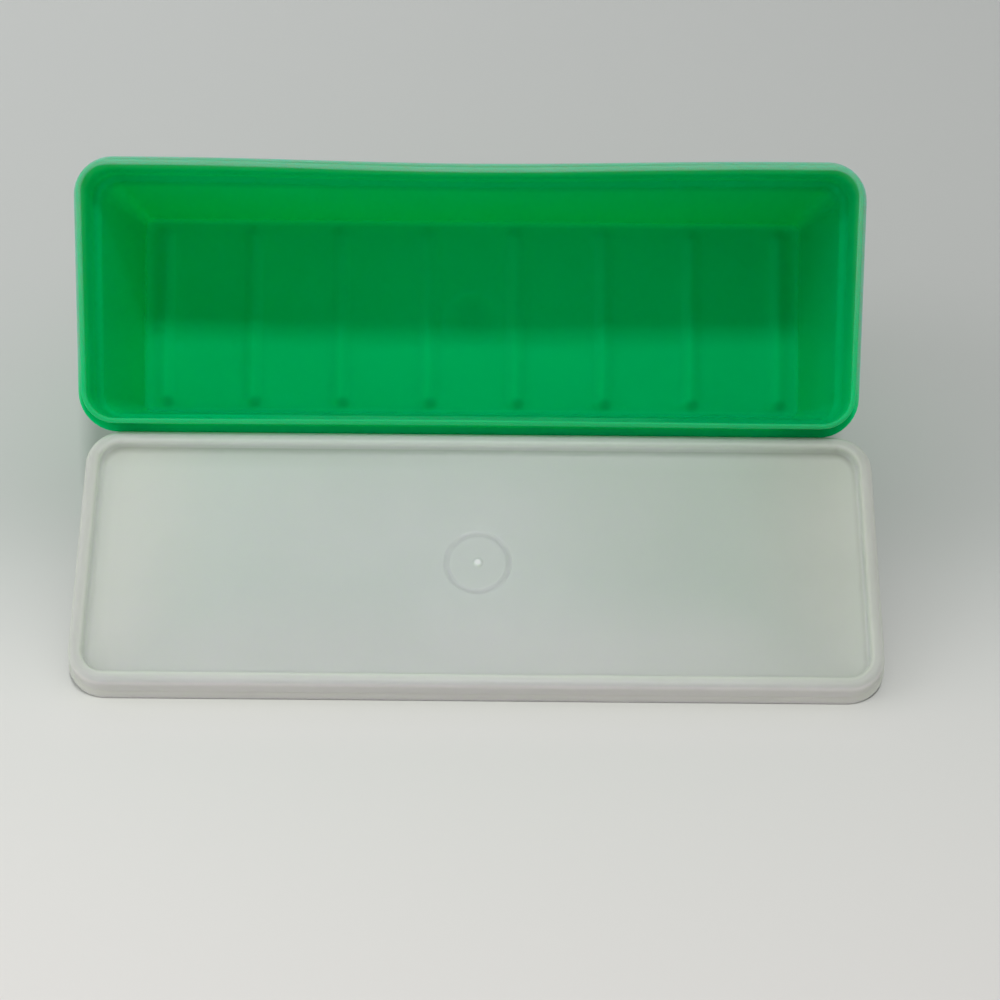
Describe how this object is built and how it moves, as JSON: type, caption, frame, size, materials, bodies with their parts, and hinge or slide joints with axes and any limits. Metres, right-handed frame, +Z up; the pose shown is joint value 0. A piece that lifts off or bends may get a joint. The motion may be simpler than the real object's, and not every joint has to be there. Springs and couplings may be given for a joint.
{
  "type": "celery keeper",
  "caption": "Deep rectangular vegetable keeper lying back with its mouth forward, the flange under its lip resting on a loose press-on lid that leans in front.",
  "frame": {"origin": "on the floor under the middle of the container and lid as they stand together", "axes": "+X along the length, +Y from the lid towards the container's base, +Z up"},
  "size_m": [0.3156, 0.2364, 0.1434],
  "materials": {
    "green_plastic": "satin, a little translucent",
    "natural_plastic": "satin, milky and translucent"
  },
  "bodies": {
    "container": {"container": "green_plastic"},
    "lid": {"lid": "natural_plastic"}
  },
  "joints": [
    {"name": "lid_lift", "type": "slide", "parent": "container", "child": "lid", "axis": [0, -0.7703, 0.6377], "range_m": [0, 0.15]}
  ]
}
